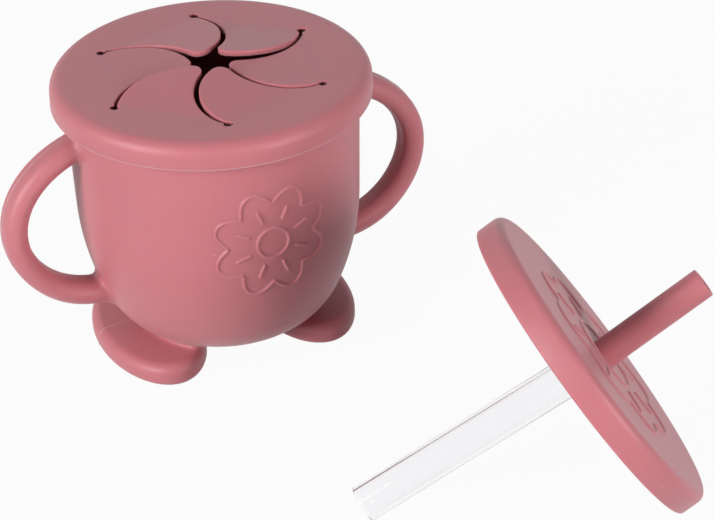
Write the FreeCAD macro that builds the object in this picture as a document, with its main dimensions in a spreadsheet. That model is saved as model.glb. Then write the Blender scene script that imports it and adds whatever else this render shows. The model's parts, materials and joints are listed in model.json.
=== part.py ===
import FreeCAD
import Part
import Sketcher
import math
import os

# Silicone toddler cup with two lids: a two-handled cup on two feet, a snack lid with six
# spring flaps on it, and a straw lid that leans beside it on its rim and its straw's tip.
# Origin on the table under the cup's axis, X along the handles, -Y to the front, +Z up.

doc = FreeCAD.newDocument("toddler_cup")
sheet = doc.addObject("Spreadsheet::Sheet", "sizes")

# Driving dimensions, in millimetres and degrees
driving = {
    # cup wall, measured on the outside
    "cup_height": 79.7,
    "belly_height": 44.0,
    "belly_draw": 1.0,
    "side_round": 71.0,
    "base_round": 19.0,
    "base_height": 6.2,
    "wall": 2.6,
    # bead round the rim that the lids grip
    "bead_radius": 0.9,
    "bead_stand": 0.7,
    "bead_drop": 1.6,
    # handles: an elliptical loop with a rounded flat section, set below the rim and above the table
    "handle_inset": 12.0,
    "handle_drop": 10.35,
    "handle_low": 19.25,
    "handle_reach": 31.7,
    "handle_tilt": 5.5,
    "handle_width": 9.6,
    "handle_thickness": 6.4,
    "handle_corner": 2.7,
    "handle_root_fillet": 2.0,
    # feet: oval pads whose top falls a little outwards
    "foot_gap": 16.8,
    "foot_y": 2.2,
    "foot_length": 50.8,
    "foot_width": 28.2,
    "foot_end_round": 8.8,
    "foot_rim": 6.1,
    "foot_slope": 3.0,
    "foot_top_round": 2.8,
    "foot_sole_round": 2.1,
    "foot_root_fillet": 0.9,
    # band of the handles and feet that belongs to the cup's own wall
    "root_band": 2.4,
    # both lids, whose skirt closes over the bead and whose lip goes inside the rim
    "lid_radius": 43.0,
    "lid_roll": 3.5,
    "deck": 1.6,
    "skirt_wall": 2.4,
    "skirt_depth": 7.4,
    "skirt_edge": 0.6,
    "lip_wall": 1.6,
    "lip_depth": 4.0,
    "lid_clearance": 0.3,
    # snack lid: curved slits between six flaps, of which the two by the handles stand lower
    "slit_margin": 11.4,
    "slit_turn": 16.3,
    "slit_rake": 42.5,
    "slit_width": 1.05,
    "slit_hole": 1.0,
    "flap_lead_round": 17.6,
    "flap_trail_round": 19.5,
    "flap_tip_round": 2.75,
    "flap_rise": 7.0,
    "side_flap_rise": 3.0,
    "hinge_gap": 0.15,
    # spout: a soft tube with a flange under the straw lid and a stem inside the straw
    "spout_radius": 3.86,
    "spout_bore": 2.6,
    "spout_rise": 30.4,
    "spout_fit": 0.1,
    "flange_radius": 6.2,
    "flange_thickness": 1.5,
    "stem_length": 9.0,
    # clear straw
    "straw_wall": 0.9,
    "straw_fit": 0.09,
    "straw_seat_gap": 0.1,
    "straw_tip_gap": 1.1,
    # where the straw lid lies
    "set_x": 57.2,
    "set_y": -112.2,
    "set_turn": -13.0,
    "set_lean": 34.3,
}
flap_count = 6
side_flaps = (2, 5)

# Sizes that follow from them: the cup is as wide as its lids need, and its handles go with its wall and rim
derived = {
    "rim_radius": "=lid_radius - skirt_wall - lid_clearance - bead_stand",
    "belly_radius": "=rim_radius - belly_draw",
    "handle_x": "=belly_radius - handle_inset",
    "handle_z": "=(cup_height - handle_drop + handle_low) / 2",
    "handle_rise": "=(cup_height - handle_drop - handle_low) / 2",
    "foot_x": "=(foot_gap + foot_width) / 2",
    "slit_end_radius": "=lid_radius - slit_margin",
}

for row, (alias, value) in enumerate({**driving, **derived}.items(), start=1):
    sheet.set("A%d" % row, alias)
    sheet.set("B%d" % row, str(value))
    sheet.setAlias("B%d" % row, alias)
doc.recompute()

# Document helpers


def size(expression):
    return float(sheet.evalExpression(expression))


def bind(thing, **expressions):
    for name, expression in expressions.items():
        thing.setExpression(name, expression)
    return thing


def placed(x, y, z, rotation="rotationz(0)"):
    return "placement(vector(%s; %s; %s); %s)" % (x, y, z, rotation)


def primitive(kind, name, **expressions):
    return bind(doc.addObject("Part::" + kind, name), **expressions)


def boolean(kind, name, base, tool):
    thing = doc.addObject("Part::" + kind, name)
    thing.Base = base
    thing.Tool = tool
    return thing


def fuse_all(name, shapes):
    thing = doc.addObject("Part::MultiFuse", name)
    thing.Shapes = shapes
    return thing


def rounded(name, base, edges_and_radii):
    thing = doc.addObject("Part::Fillet", name)
    thing.Base = base
    thing.Edges = [(index, radius, radius) for index, radius in edges_and_radii]
    return thing


def edge_numbers(shape, wanted):
    return [number for number, edge in enumerate(shape.Edges, start=1) if wanted(edge)]


def mirrored(name, source):
    thing = doc.addObject("Part::Mirroring", name)
    thing.Source = source
    thing.Normal = FreeCAD.Vector(1, 0, 0)
    return thing


# Sketch helpers

# The sketcher's own numbers for the points of an edge and for the two axes
start_point, end_point, centre_point = 1, 2, 3
horizontal_axis, vertical_axis = -1, -2
origin_point = (horizontal_axis, start_point)


def body_sketch(body, name, plane):
    sketch = body.newObject("Sketcher::SketchObject", name)
    support = [feature for feature in body.Origin.OriginFeatures if feature.Role == plane]
    sketch.AttachmentSupport = [(support[0], "")]
    sketch.MapMode = "FlatFace"
    return sketch


def point(x, y):
    return FreeCAD.Vector(x, y, 0)


def draw_line(sketch, start, end):
    return sketch.addGeometry(Part.LineSegment(point(*start), point(*end)))


def draw_arc(sketch, centre, radius, start, end):
    circle = Part.Circle(point(*centre), FreeCAD.Vector(0, 0, 1), radius)
    return sketch.addGeometry(Part.ArcOfCircle(circle, start, end))


def tie(sketch, kind, *where):
    sketch.addConstraint(Sketcher.Constraint(kind, *where))


def dimension(sketch, kind, *where, is_size):
    index = sketch.addConstraint(Sketcher.Constraint(kind, *where, size(is_size)))
    sketch.setExpression("Constraints[%d]" % index, is_size)


def pin(sketch, edge, end, x, y):
    # Holds a point at two expressions, on an axis where one of them is zero.
    for kind, axis, place in (("DistanceX", vertical_axis, x), ("DistanceY", horizontal_axis, y)):
        if place == "0":
            tie(sketch, "PointOnObject", edge, end, axis)
        else:
            dimension(sketch, kind, *origin_point, edge, end, is_size=place)


def revolved(name, draw):
    body = doc.addObject("PartDesign::Body", name)
    sketch = body_sketch(body, name + "_section", "XZ_Plane")
    draw(sketch)
    turned = body.newObject("PartDesign::Revolution", name + "_turned")
    turned.Profile = sketch
    turned.ReferenceAxis = (sketch, ["V_Axis"])
    turned.Angle = 360
    body.Tip = turned
    return body


# Cup


def cup_section(stand_off):
    # The cup's outside moved outwards by stand_off: wall, side round, base round and base.
    rim_x = "sizes.rim_radius" + stand_off
    belly_x = "sizes.belly_radius" + stand_off
    side_radius = "sizes.side_round" + stand_off
    corner_radius = "sizes.base_round" + stand_off
    base_z = "sizes.base_height - (0" + stand_off + ")"

    def draw(sketch):
        rim = (size(rim_x), size("sizes.cup_height"))
        belly = (size(belly_x), size("sizes.belly_height"))
        side = size(side_radius)
        corner = size(corner_radius)
        base = size(base_z)
        slope = math.atan2(rim[0] - belly[0], rim[1] - belly[1])
        side_centre = (belly[0] - side * math.cos(slope), belly[1] + side * math.sin(slope))
        drop = side_centre[1] - base - corner
        reach = math.sqrt((side - corner) ** 2 - drop**2)
        corner_centre = (side_centre[0] + reach, base + corner)
        meeting = -math.atan2(drop, reach)
        wall = draw_line(sketch, rim, belly)
        side_arc = draw_arc(sketch, side_centre, side, meeting, -slope)
        base_arc = draw_arc(sketch, corner_centre, corner, -math.pi / 2, meeting)
        base_line = draw_line(sketch, (corner_centre[0], base), (0, base))
        axis_line = draw_line(sketch, (0, base), (0, rim[1]))
        rim_line = draw_line(sketch, (0, rim[1]), rim)
        tie(sketch, "Tangent", wall, end_point, side_arc, end_point)
        tie(sketch, "Tangent", side_arc, start_point, base_arc, end_point)
        tie(sketch, "Tangent", base_arc, start_point, base_line, start_point)
        tie(sketch, "Coincident", base_line, end_point, axis_line, start_point)
        tie(sketch, "Coincident", axis_line, end_point, rim_line, start_point)
        tie(sketch, "Coincident", rim_line, end_point, wall, start_point)
        tie(sketch, "Horizontal", rim_line)
        pin(sketch, wall, start_point, rim_x, "sizes.cup_height")
        pin(sketch, wall, end_point, belly_x, "sizes.belly_height")
        pin(sketch, axis_line, start_point, "0", base_z)
        tie(sketch, "PointOnObject", axis_line, end_point, vertical_axis)
        tie(sketch, "Horizontal", base_line)
        dimension(sketch, "Radius", side_arc, is_size=side_radius)
        dimension(sketch, "Radius", base_arc, is_size=corner_radius)

    return draw


def handle_section():
    # Rounded rectangle, wide across the handle, with four equal corner rounds.
    sketch = doc.addObject("Sketcher::SketchObject", "handle_section")
    across = size("sizes.handle_width / 2")
    up = size("sizes.handle_thickness / 2")
    corner = size("sizes.handle_corner")
    flat_across = across - corner
    flat_up = up - corner
    bottom = draw_line(sketch, (-flat_across, -up), (flat_across, -up))
    right = draw_line(sketch, (across, -flat_up), (across, flat_up))
    top = draw_line(sketch, (flat_across, up), (-flat_across, up))
    left = draw_line(sketch, (-across, flat_up), (-across, -flat_up))
    lines = [bottom, right, top, left]
    arcs = []
    for number, (side, height) in enumerate(((1, -1), (1, 1), (-1, 1), (-1, -1))):
        centre = (side * flat_across, height * flat_up)
        quarter = (number - 1) * math.pi / 2
        arcs.append(draw_arc(sketch, centre, corner, quarter, quarter + math.pi / 2))
    for line, arc, next_line in zip(lines, arcs, lines[1:] + lines[:1]):
        tie(sketch, "Tangent", line, end_point, arc, start_point)
        tie(sketch, "Tangent", arc, end_point, next_line, start_point)
    tie(sketch, "Horizontal", bottom)
    tie(sketch, "Equal", arcs[0], arcs[1])
    tie(sketch, "Equal", arcs[1], arcs[2])
    tie(sketch, "Symmetric", bottom, start_point, top, start_point, *origin_point)
    dimension(sketch, "Radius", arcs[0], is_size="sizes.handle_corner")
    dimension(sketch, "DistanceY", *origin_point, top, start_point, is_size="sizes.handle_thickness / 2")
    dimension(sketch, "DistanceX", *origin_point, right, start_point, is_size="sizes.handle_width / 2")
    return sketch


def handle_loop(name):
    # An elliptical ring in the XZ plane, set into the wall, with its seam inside the cup.
    line = primitive("Ellipse", "handle_line", MajorRadius="max(sizes.handle_reach; sizes.handle_rise)")
    bind(line, MinorRadius="min(sizes.handle_reach; sizes.handle_rise)")
    upright = "rotationz(sizes.handle_rise > sizes.handle_reach ? 90 : 0)"
    inwards = "rotationy(-sizes.handle_tilt) * rotationy(180) * rotationx(-90) * " + upright
    bind(line, Placement=placed("sizes.handle_x", "0", "sizes.handle_z", inwards))
    section = handle_section()
    across = "rotation(vector(1; 1; 1); -120)"
    bind(section, Placement="handle_line.Placement * " + placed("handle_line.MajorRadius", "0", "0", across))
    loop = doc.addObject("Part::Sweep", name)
    loop.Sections = [section]
    loop.Spine = (line, ["Edge1"])
    loop.Solid = True
    loop.Frenet = True
    return loop


def foot_oval(sketch):
    # Two round ends joined by two long sides, all tangent arcs.
    end_y = "sizes.foot_length / 2 - sizes.foot_end_round"
    half_diagonals = "(sizes.foot_length^2 + sizes.foot_width^2) / 4"
    slack = "(sizes.foot_width - 2 * sizes.foot_end_round)"
    long_round = "(%s - sizes.foot_length * sizes.foot_end_round) / %s" % (half_diagonals, slack)
    middle = (size("sizes.foot_x"), size("sizes.foot_y"))
    along = size(end_y)
    end_round = size("sizes.foot_end_round")
    side_round = size(long_round)
    across = side_round - size("sizes.foot_width / 2")
    spread = math.atan2(along, across)
    arcs = []
    for start, x, y, radius, half in (
        (0, -across, 0, side_round, spread),
        (math.pi / 2, 0, along, end_round, math.pi / 2 - spread),
        (math.pi, across, 0, side_round, spread),
        (3 * math.pi / 2, 0, -along, end_round, math.pi / 2 - spread),
    ):
        arcs.append(draw_arc(sketch, (middle[0] + x, middle[1] + y), radius, start - half, start + half))
    for arc, next_arc in zip(arcs, arcs[1:] + arcs[:1]):
        tie(sketch, "Tangent", arc, end_point, next_arc, start_point)
    outer_side, back_end, inner_side, front_end = arcs
    tie(sketch, "Equal", outer_side, inner_side)
    tie(sketch, "Equal", back_end, front_end)
    pin(sketch, back_end, centre_point, "sizes.foot_x", "sizes.foot_y + " + end_y)
    pin(sketch, front_end, centre_point, "sizes.foot_x", "sizes.foot_y - (" + end_y + ")")
    dimension(sketch, "Radius", back_end, is_size="sizes.foot_end_round")
    dimension(sketch, "Radius", outer_side, is_size=long_round)


def foot_pad(name):
    # An oval block cut to a top that falls to foot_rim at its outer end, with both edges rounded.
    block = doc.addObject("PartDesign::Body", "foot_block")
    outline = body_sketch(block, "foot_outline", "XY_Plane")
    foot_oval(outline)
    raised = block.newObject("PartDesign::Pad", "foot_raised")
    raised.Profile = outline
    bind(raised, Length="sizes.foot_rim + sizes.foot_width")
    block.Tip = raised
    above = primitive("Box", "above_foot", Length="2 * sizes.foot_width", Width="2 * sizes.foot_length")
    bind(above, Height="2 * sizes.foot_width")
    inner_x = "sizes.foot_x - sizes.foot_width"
    inner_z = "sizes.foot_rim + 1.5 * sizes.foot_width * tan(sizes.foot_slope)"
    falling = "rotationy(sizes.foot_slope)"
    bind(above, Placement=placed(inner_x, "sizes.foot_y - sizes.foot_length", inner_z, falling))
    sloped = boolean("Cut", "foot_sloped", block, above)
    doc.recompute()
    sole_round = size("sizes.foot_sole_round")
    sole = edge_numbers(sloped.Shape, lambda edge: edge.BoundBox.ZMax < sole_round)
    top = edge_numbers(sloped.Shape, lambda edge: edge.BoundBox.ZMin > sole_round)
    radii = [(number, sole_round) for number in sole]
    radii += [(number, size("sizes.foot_top_round")) for number in top]
    return rounded(name, sloped, radii)


def root_edges(moulding, limbs):
    # The lines where handles or feet meet the cup's outside.
    skin = cup_blank.Shape.Shells[0]
    near = 1e-3

    def on_both(edge):
        middle = Part.Vertex(edge.valueAt((edge.FirstParameter + edge.LastParameter) / 2))
        if skin.distToShape(middle)[0] > near:
            return False
        return any(limb.Shape.Shells[0].distToShape(middle)[0] < near for limb in limbs)

    return edge_numbers(moulding.Shape, on_both)


def soft_moulding(loops, pads):
    # Cup, handles and feet as one moulding, with soft fillets at every root.
    moulding = fuse_all("moulding", [cup_blank] + loops + pads)
    doc.recompute()
    radii = [(number, size("sizes.handle_root_fillet")) for number in root_edges(moulding, loops)]
    radii += [(number, size("sizes.foot_root_fillet")) for number in root_edges(moulding, pads)]
    return rounded("soft_moulding", moulding, radii)


cup_blank = revolved("cup_blank", cup_section(" + 0"))
cup_cavity = revolved("cup_cavity", cup_section(" - sizes.wall"))
root_blank = revolved("root_blank", cup_section(" + sizes.root_band"))
rim_bead = primitive("Torus", "rim_bead", Radius2="sizes.bead_radius")
bind(rim_bead, Radius1="sizes.rim_radius + sizes.bead_stand - sizes.bead_radius")
bind(rim_bead, Placement=placed("0", "0", "sizes.cup_height - sizes.bead_drop"))
right_loop = handle_loop("right_loop")
left_loop = mirrored("left_loop", right_loop)
right_pad = foot_pad("right_pad")
left_pad = mirrored("left_pad", right_pad)

# The wall keeps the roots up to the band, and the limbs begin there.
moulded = soft_moulding([left_loop, right_loop], [left_pad, right_pad])
cup_stubs = boolean("Common", "cup_stubs", moulded, root_blank)
cup_beaded = boolean("Fuse", "cup_beaded", cup_stubs, rim_bead)
cup_body = boolean("Cut", "cup_body", cup_beaded, cup_cavity)
left_handle = boolean("Cut", "left_handle", left_loop, root_blank)
right_handle = boolean("Cut", "right_handle", right_loop, root_blank)
left_foot = boolean("Cut", "left_foot", left_pad, root_blank)
right_foot = boolean("Cut", "right_foot", right_pad, root_blank)

# Lids, each with its top centre at its own origin


def lid_section(sketch):
    # Deck with a rolled top edge, outer skirt, and the inner lip that goes inside the rim.
    roll_x = "sizes.lid_radius - sizes.lid_roll"
    skirt_x = "sizes.lid_radius - sizes.skirt_wall"
    lip_x = "sizes.rim_radius - sizes.wall - sizes.lid_clearance"
    lip_inside = lip_x + " - sizes.lip_wall"
    under = "-sizes.deck"
    lip_end = "-sizes.deck - sizes.lip_depth"
    hem = "-sizes.skirt_depth"
    corners = [("sizes.lid_radius", "-sizes.lid_roll"), ("sizes.lid_radius", hem)]
    corners += [(skirt_x, hem), (skirt_x, under), (lip_x, under), (lip_x, lip_end)]
    corners += [(lip_inside, lip_end), (lip_inside, under), ("0", under)]
    corners += [("0", "0"), (roll_x, "0")]
    places = [(size(x), size(y)) for x, y in corners]
    lines = [draw_line(sketch, here, ahead) for here, ahead in zip(places, places[1:])]
    roll = draw_arc(sketch, (size(roll_x), -size("sizes.lid_roll")), size("sizes.lid_roll"), 0, math.pi / 2)
    for line, next_line in zip(lines, lines[1:]):
        tie(sketch, "Coincident", line, end_point, next_line, start_point)
    tie(sketch, "Coincident", lines[-1], end_point, roll, end_point)
    tie(sketch, "Coincident", roll, start_point, lines[0], start_point)
    for line, (x, y) in zip(lines, corners):
        pin(sketch, line, start_point, x, y)
    pin(sketch, lines[-1], end_point, *corners[-1])
    dimension(sketch, "Radius", roll, is_size="sizes.lid_roll")


def lid_shell(name):
    plain = revolved(name + "_plain", lid_section)
    doc.recompute()
    hem = -size("sizes.skirt_depth") + size("sizes.skirt_edge") / 2
    outside = size("sizes.lid_radius") - size("sizes.skirt_edge") / 2
    rim = edge_numbers(plain.Shape, lambda edge: edge.BoundBox.ZMax < hem and edge.BoundBox.XMax > outside)
    return rounded(name, plain, [(number, size("sizes.skirt_edge")) for number in rim])


# Snack lid

step = 360 / flap_count
lid_top = "sizes.cup_height + sizes.deck"
apothem = "sizes.slit_end_radius * cos(%g)" % (step / 2)
half_side = "sizes.slit_end_radius * sin(%g)" % (step / 2)
# Centres of a flap's two curved sides in its own plan, where its hinge runs along X.
lead_aim = "(%g - sizes.slit_rake)" % (90 - step / 2)
trail_aim = "(%g - sizes.slit_rake)" % (90 + step / 2)
lead_arm = "(sizes.slit_width / 2 + sizes.flap_lead_round)"
trail_arm = "(sizes.flap_trail_round - sizes.slit_width / 2)"
lead_x = "(%s * cos(%s) - %s)" % (lead_arm, lead_aim, half_side)
lead_y = "(%s * sin(%s))" % (lead_arm, lead_aim)
trail_x = "(%s * cos(%s) + %s)" % (trail_arm, trail_aim, half_side)
trail_y = "(%s * sin(%s))" % (trail_arm, trail_aim)
# The hinge's ends, where those sides cross it.
hinge_start = "(%s - sqrt(sizes.flap_lead_round^2 - %s^2))" % (lead_x, lead_y)
hinge_end = "(%s - sqrt(sizes.flap_trail_round^2 - %s^2))" % (trail_x, trail_y)


def on_hinge(number, along, height, rotation):
    # A place on a flap's hinge, with X along the hinge and Y towards the lid's centre.
    middle = "(sizes.slit_turn + %g)" % ((number + 0.5) * step)
    x = "%s * cos(%s) - (%s) * sin(%s)" % (apothem, middle, along, middle)
    y = "%s * sin(%s) + (%s) * cos(%s)" % (apothem, middle, along, middle)
    return placed(x, y, height, "rotationz(%s + 90) * %s" % (middle, rotation))


def flap_window():
    # Six-sided window in the deck, with a hollow along each hinge and a round hole at each corner.
    window = primitive("Prism", "window", Circumradius="sizes.slit_end_radius", Height="3 * sizes.deck")
    window.Polygon = flap_count
    bind(window, Placement=placed("0", "0", "-2 * sizes.deck", "rotationz(sizes.slit_turn)"))
    tools = [window]
    for number in range(flap_count):
        label = str(number + 1)
        hollow = primitive("Cylinder", "hinge_hollow_" + label, Radius="sizes.deck / 2 + sizes.hinge_gap")
        bind(hollow, Height="%s - %s + 4 * sizes.hinge_gap" % (hinge_end, hinge_start))
        start = hinge_start + " - 2 * sizes.hinge_gap"
        bind(hollow, Placement=on_hinge(number, start, "-sizes.deck / 2", "rotationy(90)"))
        hole = primitive("Cylinder", "slit_hole_" + label, Radius="sizes.slit_hole", Height="3 * sizes.deck")
        corner = "(sizes.slit_turn + %g)" % (number * step)
        x = "sizes.slit_end_radius * cos(%s)" % corner
        y = "sizes.slit_end_radius * sin(%s)" % corner
        bind(hole, Placement=placed(x, y, "-2 * sizes.deck"))
        tools += [hollow, hole]
    return fuse_all("flap_window", tools)


def flap_plan(sketch):
    # Hinge line, convex leading side, rounded tip and hollow trailing side.
    lead = (size(lead_x), size(lead_y))
    trail = (size(trail_x), size(trail_y))
    lead_round = size("sizes.flap_lead_round")
    trail_round = size("sizes.flap_trail_round")
    tip_round = size("sizes.flap_tip_round")
    apart = math.dist(lead, trail)
    inside = lead_round - tip_round
    outside = trail_round + tip_round
    along = (apart**2 + inside**2 - outside**2) / (2 * apart)
    aside = math.sqrt(inside**2 - along**2)
    unit = ((trail[0] - lead[0]) / apart, (trail[1] - lead[1]) / apart)
    tip = (lead[0] + along * unit[0] - aside * unit[1], lead[1] + along * unit[1] + aside * unit[0])
    lead_tip = math.atan2(tip[1] - lead[1], tip[0] - lead[0])
    lead_foot = math.pi + math.asin(lead[1] / lead_round)
    trail_tip = math.atan2(tip[1] - trail[1], tip[0] - trail[0]) % (2 * math.pi)
    trail_foot = math.pi + math.asin(trail[1] / trail_round)
    hinge = draw_line(sketch, (size(hinge_start), 0), (size(hinge_end), 0))
    lead_side = draw_arc(sketch, lead, lead_round, lead_tip, lead_foot)
    tip_side = draw_arc(sketch, tip, tip_round, trail_tip - math.pi, lead_tip)
    trail_side = draw_arc(sketch, trail, trail_round, trail_tip, trail_foot)
    tie(sketch, "Coincident", hinge, start_point, lead_side, end_point)
    tie(sketch, "Coincident", hinge, end_point, trail_side, end_point)
    tie(sketch, "Tangent", lead_side, start_point, tip_side, end_point)
    tie(sketch, "Tangent", tip_side, start_point, trail_side, start_point)
    tie(sketch, "PointOnObject", hinge, start_point, horizontal_axis)
    tie(sketch, "PointOnObject", hinge, end_point, horizontal_axis)
    pin(sketch, lead_side, centre_point, lead_x, lead_y)
    pin(sketch, trail_side, centre_point, trail_x, trail_y)
    dimension(sketch, "Radius", lead_side, is_size="sizes.flap_lead_round")
    dimension(sketch, "Radius", tip_side, is_size="sizes.flap_tip_round")
    dimension(sketch, "Radius", trail_side, is_size="sizes.flap_trail_round")


def flap(number):
    # A plate as thick as the deck, round along its hinge, that stands a little proud at its tip.
    label = str(number + 1)
    body = doc.addObject("PartDesign::Body", "flap_" + label)
    sketch = body_sketch(body, "flap_plan_" + label, "XY_Plane")
    flap_plan(sketch)
    plate = body.newObject("PartDesign::Pad", "flap_plate_" + label)
    plate.Profile = sketch
    plate.Midplane = True
    bind(plate, Length="sizes.deck")
    root = body.newObject("PartDesign::AdditiveCylinder", "flap_root_" + label)
    bind(root, Radius="sizes.deck / 2", Height="%s - %s - 4 * sizes.hinge_gap" % (hinge_end, hinge_start))
    bind(root, Placement=placed(hinge_start + " + 2 * sizes.hinge_gap", "0", "0", "rotationy(90)"))
    body.Tip = root
    hinge_height = "sizes.cup_height + sizes.deck / 2"
    rise = "sizes.side_flap_rise" if number in side_flaps else "sizes.flap_rise"
    bind(body, Placement=on_hinge(number, "0", hinge_height, "rotationx(%s)" % rise))
    return body


snack_lid = boolean("Cut", "snack_lid", lid_shell("snack_shell"), flap_window())
bind(snack_lid, Placement=placed("0", "0", lid_top))
flaps = [flap(number) for number in range(flap_count)]

# Straw lid, spout and straw

# The lid leans on its skirt's lower edge, so its lean sets how high its centre is.
lean = "sizes.set_lean"
edge_x = "(sizes.lid_radius - sizes.skirt_edge)"
edge_z = "(sizes.skirt_depth - sizes.skirt_edge)"
set_z = "(%s * cos(%s) + %s * sin(%s) + sizes.skirt_edge)" % (edge_x, lean, edge_z, lean)
set_facing = "rotationz(sizes.set_turn) * rotationy(90 - %s)" % lean
set_place = placed("sizes.set_x", "sizes.set_y", set_z, set_facing)
# In use the straw reaches down to just above the cup's floor.
bend_depth = "(sizes.deck + sizes.flange_thickness / 2)"
straw_reach = "(%s - sizes.base_height - sizes.wall - sizes.straw_tip_gap)" % lid_top
straw_length = "(%s - %s)" % (straw_reach, bend_depth)
straw_bore = "(sizes.spout_radius + sizes.straw_fit)"
straw_radius = "(%s + sizes.straw_wall)" % straw_bore
# Its tip lies on the table too, which bends the soft stem inside the flange.
bend_z = "(%s - %s * sin(%s))" % (set_z, bend_depth, lean)
tip_arm = "sqrt(%s^2 + %s^2)" % (straw_length, straw_radius)
straw_slope = "((asin(%s / %s) - atan(%s / %s)) / 1 deg)" % (bend_z, tip_arm, straw_radius, straw_length)
bend = "(%s - %s)" % (lean, straw_slope)


def rod(name, radius, bottom, top):
    # A cylinder along the lid's axis between two heights.
    length = "(%s) - (%s)" % (top, bottom)
    return primitive("Cylinder", name, Radius=radius, Height=length, Placement=placed("0", "0", bottom))


def bent_rod(name, radius, bottom, top):
    # A cylinder along the straw's axis, with heights measured from the bend.
    base_x = "(%s) * sin(%s)" % (bottom, bend)
    base_z = "(%s) * cos(%s) - %s" % (bottom, bend, bend_depth)
    length = "(%s) - (%s)" % (top, bottom)
    leaning = placed(base_x, "0", base_z, "rotationy(%s)" % bend)
    return primitive("Cylinder", name, Radius=radius, Height=length, Placement=leaning)


def straw_lid():
    hole = rod("spout_hole", "sizes.spout_radius + sizes.spout_fit", "-2 * sizes.deck", "sizes.deck")
    return boolean("Cut", "straw_lid", lid_shell("straw_shell"), hole)


def spout():
    # Straight above the lid, with a flange under the deck and the bent stem below it.
    under_flange = "-sizes.deck - sizes.flange_thickness"
    upper = rod("spout_upper", "sizes.spout_radius", "-" + bend_depth, "sizes.spout_rise")
    flange = rod("spout_flange", "sizes.flange_radius", under_flange, "-sizes.deck")
    stem = bent_rod("spout_stem", "sizes.spout_radius", "-sizes.stem_length", "0")
    outside = fuse_all("spout_outside", [upper, flange, stem])
    # The bore's two lengths meet in the plane that halves the bend.
    half_bend = "(%s / 2)" % bend
    across = "2 * sizes.spout_rise"
    above = primitive("Box", "above_bend", Length=across, Width=across, Height=across)
    corner_x = "-sizes.spout_rise * cos(%s)" % half_bend
    corner_z = "sizes.spout_rise * sin(%s) - %s" % (half_bend, bend_depth)
    bind(above, Placement=placed(corner_x, "-sizes.spout_rise", corner_z, "rotationy(%s)" % half_bend))
    past_bend = "-%s - sizes.spout_bore" % bend_depth
    upper_way = rod("upper_way", "sizes.spout_bore", past_bend, "sizes.spout_rise")
    stem_way = bent_rod("stem_way", "sizes.spout_bore", "-sizes.stem_length", "sizes.spout_bore")
    upper_bore = boolean("Common", "upper_bore", upper_way, above)
    stem_bore = boolean("Cut", "stem_bore", stem_way, above)
    return boolean("Cut", "spout", outside, fuse_all("spout_bores", [upper_bore, stem_bore]))


def clear_straw():
    # Pushed over the stem, its end just clear of the flange.
    under_flange = "sizes.flange_thickness / 2 / cos(%s)" % bend
    seat = "-(%s + %s * abs(tan(%s)) + sizes.straw_seat_gap)" % (under_flange, straw_radius, bend)
    outside = bent_rod("straw_outside", straw_radius, "-" + straw_length, seat)
    bore = bent_rod("straw_inside", straw_bore, "-" + straw_length, seat)
    return boolean("Cut", "clear_straw", outside, bore)


straw_set = [straw_lid(), spout(), clear_straw()]
for piece in straw_set:
    bind(piece, Placement=set_place)

# Check every object, then write the sub-parts

doc.recompute()
for thing in doc.Objects:
    if "Invalid" in thing.State or "Error" in thing.State:
        raise RuntimeError("%s did not compute: %s" % (thing.Name, thing.State))

sub_parts = [cup_body, left_handle, right_handle, left_foot, right_foot, snack_lid] + flaps + straw_set
os.makedirs("parts", exist_ok=True)
for piece in sub_parts:
    if piece.Shape.isNull() or not piece.Shape.isValid():
        raise RuntimeError("%s has no valid shape" % piece.Label)
for piece in sub_parts:
    piece.Shape.exportStep("parts/%s.step" % piece.Label)
    print("%-14s %d solid, %8.1f mm3" % (piece.Label, len(piece.Shape.Solids), piece.Shape.Volume))
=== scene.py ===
import bpy
import json
import math
import numpy as np
from mathutils import Matrix, Vector


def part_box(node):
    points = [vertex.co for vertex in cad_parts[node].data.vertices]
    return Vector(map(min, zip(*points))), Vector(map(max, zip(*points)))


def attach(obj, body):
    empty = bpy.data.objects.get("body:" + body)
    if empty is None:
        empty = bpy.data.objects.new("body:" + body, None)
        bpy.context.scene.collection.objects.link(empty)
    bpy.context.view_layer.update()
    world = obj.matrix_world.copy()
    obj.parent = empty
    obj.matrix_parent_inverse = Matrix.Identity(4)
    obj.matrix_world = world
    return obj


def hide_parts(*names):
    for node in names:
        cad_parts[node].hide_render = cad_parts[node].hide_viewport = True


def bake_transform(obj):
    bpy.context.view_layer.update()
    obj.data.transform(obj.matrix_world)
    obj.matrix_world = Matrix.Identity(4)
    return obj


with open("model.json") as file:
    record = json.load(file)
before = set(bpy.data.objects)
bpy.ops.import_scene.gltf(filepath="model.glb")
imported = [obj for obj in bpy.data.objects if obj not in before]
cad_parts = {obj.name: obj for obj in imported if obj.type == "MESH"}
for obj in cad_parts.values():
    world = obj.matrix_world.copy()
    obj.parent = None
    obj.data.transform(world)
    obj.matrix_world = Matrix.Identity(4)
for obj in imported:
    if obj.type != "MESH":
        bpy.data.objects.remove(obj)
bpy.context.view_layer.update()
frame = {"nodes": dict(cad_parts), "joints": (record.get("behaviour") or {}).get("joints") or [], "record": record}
mm = 0.001
print("frame loaded:", len(frame["nodes"]), "nodes")

# Node groups that the finishes share


def newGroup(name, inputs, outputs):
    group = bpy.data.node_groups.new(name, "ShaderNodeTree")
    for label, kind, value in inputs:
        socket = group.interface.new_socket(label, in_out="INPUT", socket_type=kind)
        socket.default_value = value
    for label, kind in outputs:
        group.interface.new_socket(label, in_out="OUTPUT", socket_type=kind)
    return group, group.nodes.new("NodeGroupInput"), group.nodes.new("NodeGroupOutput")


def addNode(tree, kind, **settings):
    node = tree.nodes.new(kind)
    for label, value in settings.items():
        setattr(node, label, value)
    return node


def setSockets(node, values):
    for label, value in values.items():
        node.inputs[label].default_value = value


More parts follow.
